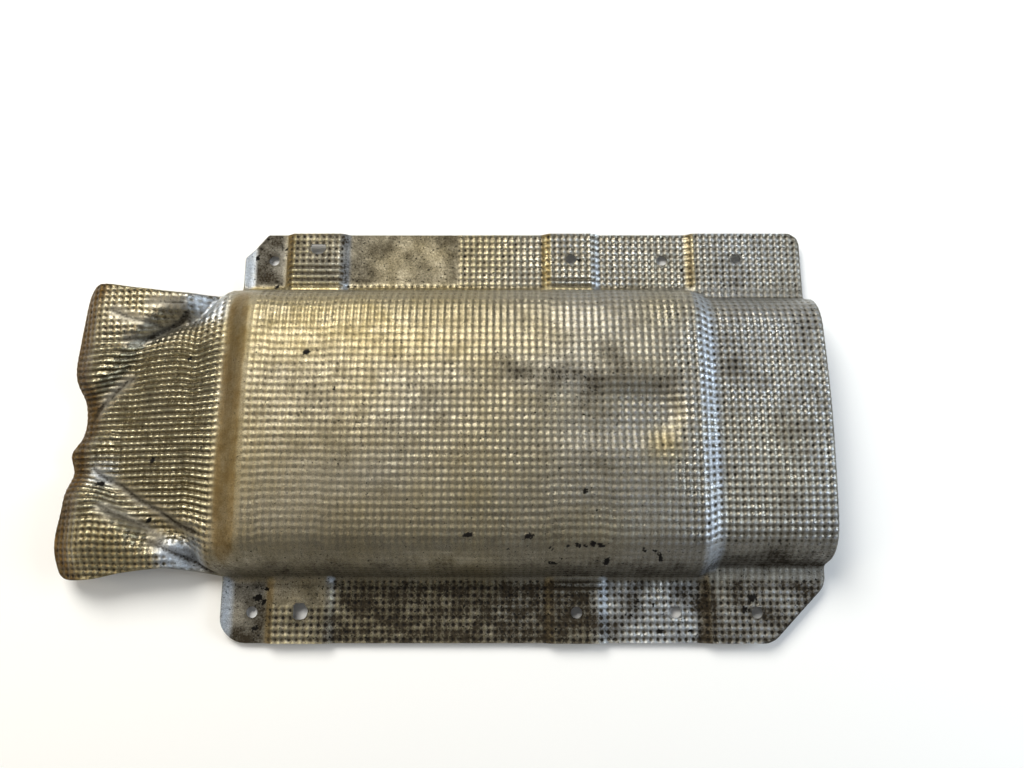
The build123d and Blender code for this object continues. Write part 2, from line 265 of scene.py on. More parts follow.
# Creases from wear: depth, half width, then the path's X and Y. A negative depth stands proud.
creases = [
    (1.6, 1.5, [(-205, 84), (-213, 78), (-226, 71), (-238, 63), (-252, 62)]),
    (1.0, 1.3, [(-262, 85), (-250, 80), (-233, 75), (-225, 74)]),
    (-0.9, 1.2, [(-242, 51), (-251, 44), (-260, 37), (-270, 31)]),
    (1.4, 1.6, [(-240, 36), (-250, 31), (-260, 21), (-268, 12), (-273, 3)]),
    (1.5, 1.5, [(-271, -29), (-258, -39), (-245, -44), (-232, -53), (-214, -62), (-200, -71), (-183, -77)]),
    (1.0, 1.3, [(-258, -55), (-245, -64), (-234, -68), (-224, -73), (-208, -85)]),
    (1.6, 1.3, [(-223, -80), (-209, -87), (-196, -94), (-186, -100), (-173, -106)]),
    (-0.9, 1.6, [(-256, -13), (-243, -16), (-229, -16), (-217, -10)]),
    (-0.7, 1.2, [(-217, -12), (-211, -18), (-207, -29), (-205, -37)]),
    (-0.6, 1.2, [(-203, -46), (-196, -38), (-192, -34)]),
    (1.0, 1.2, [(-205, 85), (-207, 75)]),
    (-0.6, 1.1, [(-192, 69), (-178, 66), (-167, 67)]),
    (-0.5, 1.1, [(-197, -68), (-180, -67), (-170, -68)]),
    (0.8, 1.2, [(-238, 89), (-222, 90), (-204, 90)]),
]


def awayFromPath(x, y, points):
    # distance from a path of straight stretches, and the way along it to its nearer end
    away, place, travelled = 1e9 + 0.0 * x, 0.0 * x, 0.0
    for start, end in zip(points, points[1:]):
        run = math.dist(start, end)
        distance, along = awayFrom(x, y, *start, *end)
        place = np.where(distance < away, travelled + along * run, place)
        away = np.minimum(away, distance)
        travelled += run
    return away, np.minimum(place, travelled - place)


def creaseDepths(x, y):
    # depth of all creases together, and how near the deep ones are, from 0 to 1
    depth, near = 0.0 * x, 0.0 * x
    for deep, halfWidth, points in creases:
        away, fromEnd = awayFromPath(x, y, points)
        taper = softStep(fromEnd, -3.0, 6.0)
        depth = depth + deep * taper * np.exp(-((away / halfWidth) ** 2))
        near = np.maximum(near, (deep > 0) * taper * np.exp(-((away / 6.5) ** 2)))
    return depth, near


def zone(x, y, startX, endX, softX, startY, endY, softY):
    # 1 in a soft-edged rectangle; a side at 400 lies off the sheet
    return within(x, startX, endX, softX) * within(y, startY, endY, softY)


def zoneSum(x, y, zones):
    # the amounts of several zones added up
    return sum(amount * zone(x, y, *sides) for amount, *sides in zones)


# Where the lattice differs. Every zone: amount, X start, end and softness, Y start, end and softness.
emboss = {
    "tunnel": (-176.0, 400.0, 4.0, -110.5, 110.5, 2.5),
    # share ironed away on the tunnel's crown, and on its shoulders and walls
    "crownIroned": [
        (0.42, -400.0, 155.0, 35.0, -400.0, 400.0, 1.0),
        (0.18, -400.0, -45.0, 65.0, -400.0, -15.0, 35.0),
        (0.07, -400.0, 155.0, 35.0, -400.0, -35.0, 25.0),
    ],
    "wallsIroned": [
        (0.35, -400.0, 400.0, 1.0, 82.0, 400.0, 6.0),
        (0.60, -400.0, 400.0, 1.0, -400.0, -82.0, 6.0),
    ],
    "ironed": [
        (0.85, -172.0, -151.0, 3.0, -110.0, 110.0, 2.0),  # band beside the skirt
        (0.90, -400.0, -139.5, 2.5, 110.5, 400.0, 2.5),  # left end of the upper flange
        (0.90, -400.0, -139.5, 2.5, -400.0, -110.5, 2.5),  # and of the lower one
        (0.80, -144.0, -97.0, 3.0, -128.0, -106.0, 3.0),  # inner half of the lower left pad
        (0.90, -97.0, -7.0, 2.0, 112.5, 400.0, 1.5),  # bare patch
        (0.55, -204.0, -178.0, 6.0, 78.0, 98.0, 5.0),  # both sides of the tongue's root
        (0.55, -204.0, -178.0, 6.0, -102.0, -82.0, 5.0),
    ],
    "creaseIroned": 0.8,
    "rimIroned": 0.65,
    "rimWidth": 5.0,
    "skirtGain": 0.2,
    # share of rows along X; below 0 it is a share of columns
    "rows": [
        (0.85, -400.0, -171.0, 13.0, -70.0, 62.0, 14.0),  # tongue
        (0.75, -138.0, -97.0, 3.0, 105.0, 129.0, 4.0),  # upper left pad
        (0.85, 64.0, 97.0, 3.0, 105.0, 117.0, 3.0),  # foot of each middle pad
        (0.85, 64.0, 97.0, 3.0, -117.0, -105.0, 3.0),
        (-0.16, -150.0, 40.0, 12.0, -96.0, 62.0, 8.0),  # crown
        (-0.50, -150.0, 40.0, 12.0, 68.0, 104.0, 8.0),  # upper shoulder
    ],
}


def embossStrength(x, y):
    # 1 where the lattice is crisp, lower where pressing or wear has ironed it
    ironed = np.maximum(zoneSum(x, y, emboss["crownIroned"]), zoneSum(x, y, emboss["wallsIroned"]))
    strength = 1 - zone(x, y, *emboss["tunnel"]) * ironed
    for share, *sides in emboss["ironed"]:
        strength = strength * (1 - share * zone(x, y, *sides))
    depth, nearCrease = creaseDepths(x, y)
    strength = strength * (1 - emboss["creaseIroned"] * nearCrease)
    nearRim = (1 - softStep(fromRim(x, y), 0.0, emboss["rimWidth"])) * (x < form["leftEnd"])
    strength = strength * (1 - emboss["rimIroned"] * nearRim)
    return strength * (1 + emboss["skirtGain"] * softStep(-x, 172.0, 190.0))


def rowShare(x, y):
    # 1 where only the rows along X stand out, 0 where the lattice is square, below 0 where the columns lead
    return zoneSum(x, y, emboss["rows"])


def wornLift(x, y, u, v):
    # How far the worn, embossed sheet stands off the smooth form. The lattice is a net of ridges with square
    # pits between, highest where ridges cross; a share of rows or columns alone is mixed in.
    crestU, crestV = 0.5 + 0.5 * np.cos(2 * np.pi * u), 0.5 + 0.5 * np.cos(2 * np.pi * v)
    bump = 0.55 * (crestU + crestV - crestU * crestV) + 0.45 * crestU * crestV
    bump = bump + rowShare(x, y) * (crestV * (0.75 + 0.25 * crestU) - bump)
    strength = embossStrength(x, y) * (1 + 0.2 * seededWaves(x, y, 24, 9.0, 30.0, 3))
    lift = wear["embossHeight"] * strength * (bump - 0.5) * (1 + 0.4 * np.abs(rowShare(x, y)))
    skirt = softStep(form["leftEnd"] - x, -6.0, 30.0)
    dents = wear["dents"] + (wear["skirtDents"] - wear["dents"]) * skirt
    dents = dents * softStep(form["halfWidth"] - np.abs(y), 0.0, 45.0)
    return lift + 0.5 * dents * seededWaves(x, y, 40, 22.0, 90.0, 8) - creaseDepths(x, y)[0]


def sheetRows(x, columns):
    # One row of the sheet for each X. In each, the section is measured along its own length from the middle
    # line and the lattice's columns are spread evenly along it up to flatFrom, then run on at full pitch.
    edge = form["halfWidth"] + form["beyond"]
    flat = form["flatFrom"]
    fineShare = np.linspace(0.0, 5.0, 1500)[None, :]
    halfY, halfZ = halfSection(x[:, None] + 0 * fineShare, fineShare + 0 * x[:, None])
    fineY = np.linspace(-edge, edge, 3001)
    z = np.stack([np.interp(np.abs(fineY), rowY, rowZ) for rowY, rowZ in zip(halfY, halfZ)])
    spreadX, spreadY = np.meshgrid(x, fineY, indexing="ij")
    z = raisedSkirt(spreadX, spreadY, z - beadDepth(spreadX, spreadY))
    length = np.cumsum(np.hypot(np.diff(fineY)[None, :], np.diff(z, axis=1)), axis=1)
    length = np.concatenate([0 * length[:, :1], length], axis=1)
    atFlat = form["pitch"] * form["pitchesToFlat"]
    rows = []
    for row in range(len(x)):
        middle, low, high = np.interp([0.0, -flat, flat], fineY, length[row])
        share = np.clip(np.abs(columns) / atFlat, 0.0, 1.0)
        target = middle + np.where(columns > 0, high - middle, low - middle) * share
        y = np.interp(target, length[row], fineY)
        past = np.clip(np.abs(columns) - atFlat, 0.0, None)
        y = np.where(past > 0, np.sign(columns) * (flat + past), y)
        rows.append((y, np.interp(y, fineY, z[row])))
    return np.array([row[0] for row in rows]), np.array([row[1] for row in rows])


def skin(step, thickness):
    # a grid of points of one face of the sheet: the smooth form moved across its normal, kept in its section
    pitches = math.floor((form["leftEnd"] - form["skirtLength"] - form["beyond"]) / form["pitch"])
    x = np.arange(pitches * form["pitch"], form["rightEnd"] + form["beyond"], step)
    flangeSpan = form["halfWidth"] + form["beyond"] - form["flatFrom"]
    count = round((form["pitch"] * form["pitchesToFlat"] + flangeSpan) / step)
    columns = step * np.arange(-count, count + 1)
    y, z = sheetRows(x, columns)
    x = x[:, None] + 0 * y
    u, v = x / form["pitch"], columns[None, :] / form["pitch"] + 0 * y
    place = np.stack([x, y, z], axis=2)
    inside = softStep(form["halfWidth"] + form["beyond"] - np.abs(y), 0.0, 2.0)
    normal = np.cross(np.gradient(place, axis=0), np.gradient(place, axis=1))
    normal = normal / np.linalg.norm(normal, axis=2, keepdims=True)
    lift = thickness + wornLift(x, y, u, v) * inside
    inSection = lift / (normal[:, :, 1] ** 2 + normal[:, :, 2] ** 2)
    place[:, :, 1] += inSection * normal[:, :, 1]
    place[:, :, 2] += inSection * normal[:, :, 2]
    lattice = np.stack([u, v, embossStrength(x, y)], axis=2)
    return place, lattice, normal


def gridFaces(rows, columns, first, flip):
    # quads of a grid whose points are numbered row by row from first
    index = first + np.arange(rows * columns).reshape(rows, columns)
    quads = np.stack([index[:-1, :-1], index[1:, :-1], index[1:, 1:], index[:-1, 1:]], axis=2).reshape(-1, 4)
    return quads[:, ::-1] if flip else quads


def border(rows, columns, first):
    # the four sides of a grid's border, each as point numbers
    index = first + np.arange(rows * columns).reshape(rows, columns)
    return [index[:, 0], index[-1, :], index[::-1, -1], index[0, ::-1]]


def addValues(mesh, name, values):
    # three values for each point, kept on the mesh for the material
    attribute = mesh.attributes.new(name, "FLOAT_VECTOR", "POINT")
    attribute.data.foreach_set("vector", values.astype(np.float32).ravel())


def sheetMesh(upperStep, lowerStep):
    # two skins joined all round by four flat sides
    upper, upperLattice, upperLean = skin(upperStep, form["wall"])
    lower, lowerLattice, lowerLean = skin(lowerStep, 0.0)
    count = upper.shape[0] * upper.shape[1]
    faces = gridFaces(*upper.shape[:2], 0, False).tolist()
    faces += gridFaces(*lower.shape[:2], count, True).tolist()
    for above, below in zip(border(*upper.shape[:2], 0), border(*lower.shape[:2], count)):
        faces.append(above[::-1].tolist() + below.tolist())
    mesh = bpy.data.meshes.new("heatShieldSheet")
    points = np.concatenate([upper.reshape(-1, 3), lower.reshape(-1, 3)]) * mm
    mesh.from_pydata(points.tolist(), [], faces)
    for name, above, below in (("lattice", upperLattice, lowerLattice), ("lean", upperLean, lowerLean)):
        addValues(mesh, name, np.concatenate([above.reshape(-1, 3), below.reshape(-1, 3)]))
    mesh.update()
    return mesh


outline = {
    "upperLeftCut": (16.0, 20.0, 3.0),  # along X, along Y, round of both its ends
    "upperRightRound": 10.0,
    "lowerRightCut": (40.0, 40.0, 16.0),
    "lowerLeftRound": 18.0,
    # the skirt's edge: distance left of the flanges' end, and Y
    "skirtEdge": [
        (0.0, 103.0), (30.0, 97.5), (65.0, 100.5), (92.0, 104.0), (103.0, 102.0), (110.0, 88.0),
        (112.5, 71.0), (115.0, 50.0), (113.0, 32.0), (106.5, 6.0), (108.5, -8.0), (116.0, -21.0),
        (113.0, -37.0), (114.0, -58.0), (117.5, -79.0), (116.0, -97.0), (109.0, -108.0), (88.0, -108.5),
        (65.0, -104.0), (36.0, -101.0), (16.0, -104.0), (0.0, -107.0),
    ],
}


def fromRim(x, y):
    # distance along X from the skirt's worn left edge
    edge = np.array(sorted((edgeY, reach) for reach, edgeY in outline["skirtEdge"] if reach > 100.0))
    return np.interp(y, edge[:, 0], edge[:, 1]) - (form["leftEnd"] - x)


def roundedCorner(before, corner, after, radius, count=9):
    # points of the arc that touches both sides of a corner
    before, corner, after = (np.array(p, float) for p in (before, corner, after))
    toBefore = (before - corner) / np.linalg.norm(before - corner)
    toAfter = (after - corner) / np.linalg.norm(after - corner)
    half = 0.5 * np.arccos(np.clip(toBefore @ toAfter, -1.0, 1.0))
    middle = (toBefore + toAfter) / np.linalg.norm(toBefore + toAfter)
    centre = corner + middle * radius / np.sin(half)
    turn = np.linspace(-(np.pi / 2 - half), np.pi / 2 - half, count)[:, None]
    side = toAfter - middle * (toAfter @ middle)
    side = side / np.linalg.norm(side)
    return centre - middle * radius * np.cos(turn) + side * radius * np.sin(turn)


def smoothThrough(points, count=10):
    # a Catmull-Rom curve through the points
    points = np.array(points, float)
    padded = np.concatenate([2 * points[:1] - points[1:2], points, 2 * points[-1:] - points[-2:-1]])
    a, b, c, d = (padded[k : len(padded) - 3 + k][:, None, :] for k in range(4))
    t = np.linspace(0.0, 1.0, count, endpoint=False)[None, :, None]
    curve = 2 * b + (c - a) * t + (2 * a - 5 * b + 4 * c - d) * t**2 + (3 * b - a - 3 * c + d) * t**3
    curve = 0.5 * curve
    return np.concatenate([curve.reshape(-1, 2), points[-1:]])


def outlinePoints():
    # both flanges with worked corners and the worn edge of the skirt, anticlockwise from above
    left, right, side = form["leftEnd"], form["rightEnd"], form["halfWidth"]
    cutX, cutY, cutRound = outline["upperLeftCut"]
    lowX, lowY, lowRound = outline["lowerRightCut"]
    skirt = smoothThrough([(left - reach, y) for reach, y in outline["skirtEdge"]])
    corners = [
        (tuple(skirt[-1]), 0.0),
        ((left, -side), outline["lowerLeftRound"]),
        ((right - lowX, -side), lowRound),
        ((right, lowY - side), lowRound),
        ((right, side), outline["upperRightRound"]),
        ((left + cutX, side), cutRound),
        ((left, side - cutY), cutRound),
        (tuple(skirt[0]), 0.0),
    ]
    arcs = [
        roundedCorner(corners[k - 1][0], corners[k][0], corners[k + 1][0], corners[k][1])
        for k in range(1, len(corners) - 1)
    ]
    return np.concatenate([skirt] + arcs)


def prism(name, loops, low, high):
    # closed loops of points drawn out between two heights
    points, faces = [], []
    for loop in loops:
        first, count = len(points), len(loop)
        points += [(x * mm, y * mm, low * mm) for x, y in loop]
        points += [(x * mm, y * mm, high * mm) for x, y in loop]
        ring = list(range(first, first + count))
        faces.append(ring[::-1])
        faces.append([k + count for k in ring])
        faces += [(a, b, b + count, a + count) for a, b in zip(ring, ring[1:] + ring[:1])]
    mesh = bpy.data.meshes.new(name)
    mesh.from_pydata(points, [], faces)
    return mesh


holes = {
    "row": 132.0,
    "radius": 4.0,
    "places": [-151.0, 80.0, 151.0, 208.0],
    # the left pads' holes, torn wide: X, Y, radius, then how far they reach left, right, down and up
    "worn": [
        (-116.5, 142.0, 5.9, 5.9, 5.9, 6.2, 2.4),
        (-116.5, -131.0, 6.1, 4.2, 6.2, 5.8, 5.6),
    ],
}


def holeLoops():
    # round bolt holes, and wavering worn ones each with a flat side
    turn = np.linspace(0, 2 * np.pi, 40, endpoint=False)
    circle = np.stack([np.cos(turn), np.sin(turn)], axis=1)
    loops = [
        np.array([x, side * holes["row"]]) + holes["radius"] * circle
        for x in holes["places"]
        for side in (1, -1)
    ]
    for x, y, radius, left, right, down, up in holes["worn"]:
        ragged = radius * (1 + 0.03 * np.sin(3 * turn + x) + 0.02 * np.sin(7 * turn + y))
        loops.append(np.clip(ragged[:, None] * circle, (-left, -down), (right, up)) + np.array([x, y]))
    return loops


def cutBy(piece, cutterMesh, operation):
    # boolean by a closed cutter, applied
    cutter = bpy.data.objects.new("cutter", cutterMesh)
    bpy.context.scene.collection.objects.link(cutter)
    modifier = piece.modifiers.new("cut", "BOOLEAN")
    modifier.operation = operation
    modifier.solver = "MANIFOLD"
    modifier.object = cutter
    graph = bpy.context.evaluated_depsgraph_get()
    mesh = bpy.data.meshes.new_from_object(piece.evaluated_get(graph))
    piece.modifiers.clear()
    piece.data = mesh
    bpy.data.objects.remove(cutter)
    print(operation.lower(), len(mesh.polygons), "faces")


finish = {
    "bareMetal": (0.43, 0.415, 0.37, 1.0),
    "dullMetal": (0.30, 0.285, 0.245, 1.0),
    # heat tint, also the colour of painted warm reflection
    "warmTintAndSheen": (0.37, 0.29, 0.12, 1.0),
    # brown stain, also the colour of painted warm shade
    "brownStainAndShade": (0.17, 0.098, 0.027, 1.0),
    # colour of painted cool reflections and highlights
    "coolHighlight": (0.62, 0.68, 0.76, 1.0),
    # colour of painted warm highlights on the lattice's crossings
    "paleGold": (0.65, 0.595, 0.37, 1.0),
    # grime, also the colour of painted shade
    "grimeAndShade": (0.030, 0.023, 0.014, 1.0),
    # dirt and painted shade in the pits
    "pitDirtAndShade": (0.043, 0.034, 0.020, 1.0),
    "soot": (0.006, 0.005, 0.004, 1.0),
    "roughness": 0.27,
}

# Black marks: X, Y, half length, half width, turn in degrees
marks = [
    (-110, 48, 2.6, 2.0, 40), (-89, 22, 1.4, 1.1, 0), (4.5, -78, 3.6, 1.4, 2), (46, -79, 3.0, 1.8, 10),
    (32, -87, 1.2, 1.0, 0), (61, -87, 1.9, 0.8, -10), (72, -86, 1.6, 0.9, -30), (79, -85, 2.3, 1.3, -35),
    (84, -85.5, 1.5, 1.1, -40), (89, -84, 2.1, 1.8, 0), (94.5, -85, 2.8, 1.4, -25), (62, -97, 3.4, 0.9, -12),
    (99, -96, 2.6, 1.9, 80), (124, -88, 2.1, 1.0, -42), (131, -88.5, 1.7, 1.0, -30),
    (135, -93, 3.8, 1.3, -66), (84, -49, 1.8, 1.5, 0), (92, -62, 1.1, 0.9, 0), (-199, 47, 1.7, 1.5, 0),
    (-221, -26, 2.1, 1.8, 20), (-261, -42, 2.4, 1.7, -10), (-223, -68, 2.4, 1.5, 40),
    (-183, -18, 1.2, 1.0, 0), (-148, 110, 2.0, 1.4, 30), (-147, -122, 3.2, 2.2, 10),
    (-141, -116, 1.6, 1.2, 0), (-143, -125, 2.2, 1.5, 60), (-164, 134, 1.2, 2.6, 0),
    (-142, 141, 1.4, 1.2, 0), (-148, -143, 2.6, 1.6, 30), (139, -145, 2.4, 1.7, 0), (161, -145, 2.0, 1.2, 0),
    (119, -134, 1.2, 1.2, 0), (124, -124, 1.4, 1.2, 0), (135, -127, 1.2, 1.4, 0), (205, -122, 3.2, 2.5, 30),
    (199, -130, 1.6, 2.6, 0), (166, 124, 1.2, 2.0, 0), (86, 131, 2.0, 1.1, -10),
]


# Where the film and its painted light and shade differ. Every zone: amount, X start, end and softness, Y
# start, end and softness.
filmAndPaintedLight = {
    "grimeAndShade": [
        (0.42, -400.0, 400.0, 1.0, -400.0, -111.0, 3.0),  # lower flange, and more on its middle
        (0.50, -105.0, 95.0, 30.0, -400.0, -111.0, 3.0),
        (0.50, 166.0, 178.0, 3.0, -400.0, -111.0, 3.0),
        (-0.12, 92.0, 168.0, 8.0, -400.0, -111.0, 3.0),
        (0.15, -400.0, 400.0, 1.0, -114.0, -98.0, 5.0),  # foot of the lower wall
        (0.16, -10.0, 50.0, 12.0, 111.0, 400.0, 3.0),  # upper flange right of the patch
        (0.50, -138.0, -94.0, 4.0, 111.0, 400.0, 3.0),  # upper left pad
        (0.56, -97.0, -7.0, 4.0, 112.5, 400.0, 1.5),  # bare patch
        (0.22, -120.0, 110.0, 30.0, -45.0, 42.0, 25.0),  # crown
        (0.07, -150.0, 20.0, 20.0, 60.0, 104.0, 10.0),
        (0.15, 50.0, 400.0, 70.0, -400.0, 400.0, 1.0),  # towards the open end
        (0.16, 175.0, 400.0, 10.0, -400.0, 400.0, 1.0),
        (0.03, -400.0, -180.0, 4.0, -400.0, 400.0, 1.0),  # skirt, and more on its lower lobe
        (0.09, -400.0, -180.0, 4.0, -400.0, -65.0, 15.0),
    ],
    "tintAndSheen": [
        (-0.32, 65.0, 400.0, 125.0, -400.0, 400.0, 1.0),
        (0.26, -400.0, -180.0, 4.0, -400.0, 400.0, 1.0),
        # the next two zones: painted warm reflection, partly heat tint, on the upper shoulder and along the
        # upper wall's foot
        (0.30, -150.0, 10.0, 40.0, 40.0, 104.0, 14.0),
        (0.50, -400.0, 130.0, 30.0, 102.0, 110.0, 3.0),
    ],
    # painted cool reflections and highlights
    "coolSheen": [
        (1.00, -172.0, -165.0, 2.0, 111.0, 400.0, 3.0),  # painted highlight on the curled ends of both flanges
        (1.00, -172.0, -165.0, 2.0, -400.0, -111.0, 3.0),
        (0.14, 145.0, 400.0, 45.0, -400.0, 400.0, 1.0),
        (0.55, 92.0, 168.0, 8.0, -400.0, -111.0, 3.0),
        (1.10, -205.0, -176.0, 8.0, 76.0, 98.0, 7.0),  # painted cool reflection on both sides of the tongue's root
        (1.10, -212.0, -182.0, 7.0, -102.0, -81.0, 6.0),
        (0.60, -273.0, -248.0, 7.0, -42.0, -24.0, 7.0),
        (0.11, -400.0, -180.0, 4.0, -65.0, 400.0, 10.0),
    ],
    # painted warm shade, on slopes that face the gathered end alone
    "brownAndShade": [
        (0.45, -400.0, 400.0, 1.0, -400.0, -111.0, 3.0),
        (0.25, -400.0, 400.0, 1.0, 111.0, 400.0, 3.0),
        (0.30, -400.0, -105.0, 5.0, 111.0, 400.0, 3.0),
        (0.50, -176.0, -150.0, 5.0, -111.0, 111.0, 3.0),
    ],
    "beadShadePath": [(10, 36), (60, 33), (120, 30), (146, 22), (158, 6)],  # painted shade along the bead's upper inner wall: path of X and Y
    "beadShadeWidth": 8.0,
    "warmSheenSpot": (139.0, -17.0, 12.0, 11.0),  # painted warm reflection at the bead's round end: X, Y and reach along both
}


def leftCorners(x, y):
    # 1 at the left ends of both flanges
    return softStep(np.abs(y), 108.0, 114.0) * (1 - softStep(x, -146.0, -138.0))


def grimeAndShadeAmount(x, y, lean, blotch):
    # soot and dirt, most on the lower flange, with painted shade: on slopes away from the tunnel's upper side
    # (partly dirt), in the skirt's creases and along the bead's upper inner wall, and painted light on slopes
    # that face the upper side; darker towards the skirt's rim
    mottle = seededWaves(x, y, 24, 14.0, 60.0, 4)
    skirt, lowerFlange = softStep(-x, 176.0, 184.0), softStep(-y, 108.0, 114.0)
    corner = leftCorners(x, y) * softStep(x, -167.0, -162.0)
    patch = within(x, -97.0, -7.0, 4.0) * softStep(y, 111.0, 114.0)
    away, fromEnd = awayFromPath(x, y, filmAndPaintedLight["beadShadePath"])
    grimeAndShade = 0.16 + zoneSum(x, y, filmAndPaintedLight["grimeAndShade"])
    grimeAndShade = grimeAndShade + blotch * (0.12 + 0.02 * patch) + corner * (0.62 + 0.08 * (y > 0) + 0.15 * blotch)
    mottled = 0.16 * lowerFlange + 0.12 * softStep(x, -20.0, 60.0) * within(y, 10.0, 108.0, 12.0)
    grimeAndShade = grimeAndShade + mottle * mottled
    # painted shade, partly dirt, on slopes that face away from the upper side
    grimeAndShade = grimeAndShade + 0.4 * softStep(-lean[:, 1], 0.35, 0.9) * (1 - 0.8 * skirt)
    # painted light on slopes that face the upper side
    grimeAndShade = grimeAndShade - 0.3 * softStep(lean[:, 1], 0.4, 0.95)
    # painted shade along the bead's upper inner wall
    grimeAndShade = grimeAndShade + 0.34 * np.exp(-((away / filmAndPaintedLight["beadShadeWidth"]) ** 2)) * softStep(fromEnd, -2.0, 30.0)
    # painted shade in the skirt's creases
    grimeAndShade = grimeAndShade + 0.9 * np.clip(creaseDepths(x, y)[0], 0.0, 1.0) * skirt
    return grimeAndShade + 0.25 * (1 - softStep(fromRim(x, y), 2.0, 16.0)) * skirt


def tintAndSheenAmount(x, y, facesLeft):
    # heat tint with painted warm reflection: tint on the skirt, tint and painted warm reflection along the
    # upper side, painted warm reflection on slopes that face the gathered end and at the bead's round end
    skirt, upperFlange = softStep(-x, 176.0, 184.0), softStep(y, 108.0, 114.0)
    spotX, spotY, reachX, reachY = filmAndPaintedLight["warmSheenSpot"]
    # painted warm reflection at the bead's round end
    spot = np.exp(-(((x - spotX) / reachX) ** 2 + ((y - spotY) / reachY) ** 2))
    tintAndSheen = 0.52 + zoneSum(x, y, filmAndPaintedLight["tintAndSheen"]) + 0.10 * seededWaves(x, y, 20, 40.0, 160.0, 5)
    # painted warm reflection on slopes that face the gathered end
    tintAndSheen = tintAndSheen + facesLeft * (1 - skirt) * (0.25 + 0.9 * upperFlange)
    return tintAndSheen + 0.8 * spot - 0.3 * creaseDepths(x, y)[1] * skirt - 0.5 * leftCorners(x, y)


def coolSheenAmount(x, y, lean, blotch):
    # painted cool reflection and highlight: on slopes that face the open end, on the upper wall and where the
    # skirt is folded
    skirt, lowerFlange = softStep(-x, 176.0, 184.0), softStep(-y, 108.0, 114.0)
    # painted cool reflection on slopes that face the open end
    facesRight = softStep(lean[:, 0], 0.10, 0.36) * (1 - skirt)
    soiled = 0.6 * lowerFlange * (1 - softStep(x, 90.0, 110.0))
    coolSheen = 1.15 * facesRight * (0.8 + 0.35 * blotch) * (1 - soiled)
    coolSheen = coolSheen + zoneSum(x, y, filmAndPaintedLight["coolSheen"]) + 0.1 * creaseDepths(x, y)[1] * skirt
    # painted highlight on slopes that face the tunnel's upper side
    return coolSheen + 0.14 * softStep(lean[:, 1], 0.4, 0.95) * (1 - skirt)


def markAmount(x, y):
    # over 0 in the black marks, each an ellipse
    mark = 0.0 * x
    for markX, markY, halfLength, halfWidth, turn in marks:
        cos, sin = math.cos(math.radians(turn)), math.sin(math.radians(turn))
        along, across = (x - markX) * cos + (y - markY) * sin, (y - markY) * cos - (x - markX) * sin
        mark = np.maximum(mark, 1.6 - np.hypot(along / halfLength, across / halfWidth))
    return mark


def filmAndLightValues(x, y, lean):
    # six shares for the material: grime with painted shade, golden tint with painted warm reflection, and
    # painted cool reflection; black marks, rows, and brown film with painted warm shade
    blotch = seededWaves(x, y, 30, 18.0, 90.0, 21)
    facesLeft = softStep(-lean[:, 0], 0.10, 0.42)
    # darker brown towards the skirt's rim
    brownAndShade = 1.1 * softStep(-x, 176.0, 184.0) * (1 - softStep(fromRim(x, y), 3.0, 22.0))
    # painted warm shade on slopes that face the gathered end
    brownAndShade = brownAndShade + facesLeft * zoneSum(x, y, filmAndPaintedLight["brownAndShade"])
    grimeAndShade, coolSheen = grimeAndShadeAmount(x, y, lean, blotch), coolSheenAmount(x, y, lean, blotch)
    shares = np.stack([grimeAndShade, tintAndSheenAmount(x, y, facesLeft), coolSheen], axis=1)
    touch = np.stack([markAmount(x, y), rowShare(x, y), brownAndShade], axis=1)
    return np.clip(shares, 0.0, 1.0), np.clip(touch, -1.0, 1.0)


def addFilmAndLight(mesh):
    points, lean = (np.empty(len(mesh.vertices) * 3, np.float32) for _ in range(2))
    mesh.vertices.foreach_get("co", points)
    mesh.attributes["lean"].data.foreach_get("vector", lean)
    points = points.reshape(-1, 3) / mm
    shares, touch = filmAndLightValues(points[:, 0], points[:, 1], lean.reshape(-1, 3))
    addValues(mesh, "filmAndPaintedLight", shares)
    addValues(mesh, "touch", touch)


class nodeMaker:
    # short calls for one material's nodes
    def __init__(self, material):
        material.use_nodes = True
        self.tree = material.node_tree
        self.shader = self.tree.nodes["Principled BSDF"]

    def add(self, kind, inputs=(), **settings):
        made = self.tree.nodes.new(kind)
        for name, value in settings.items():
            setattr(made, name, value)
        for name, value in dict(inputs).items():
            self.feed(made.inputs[name], value)
        return made

    def feed(self, socket, value):
        if isinstance(value, bpy.types.NodeSocket):
            self.tree.links.new(value, socket)
        else:
            socket.default_value = value

    def meshValues(self, name):
        # the three values that addValues kept on the mesh
        made = self.add("ShaderNodeAttribute", attribute_name=name)
        return self.add("ShaderNodeSeparateXYZ", {"Vector": made.outputs["Vector"]}).outputs

    def math(self, operation, first, second=0.0, third=0.0, clamp=False):
        made = self.tree.nodes.new("ShaderNodeMath")
        made.operation = operation
        made.use_clamp = clamp
        for socket, value in zip(made.inputs, (first, second, third)):
            self.feed(socket, value)
        return made.outputs[0]

    def mix(self, share, first, second):
        made = self.tree.nodes.new("ShaderNodeMix")
        made.data_type = "RGBA"
        self.feed(made.inputs[0], share)
        self.feed(made.inputs[6], first)
        self.feed(made.inputs[7], second)
        return made.outputs[2]

    def ranged(self, value, low, high, toLow=0.0, toHigh=1.0):
        made = self.add("ShaderNodeMapRange", {"Value": value, "From Min": low, "From Max": high,
                                               "To Min": toLow, "To Max": toHigh})
        return made.outputs[0]

    def noise(self, place, scale, detail=3.0, rough=0.55):
        made = self.add("ShaderNodeTexNoise", {"Vector": place, "Scale": scale, "Detail": detail,
                                               "Roughness": rough})
        return made.outputs[0]


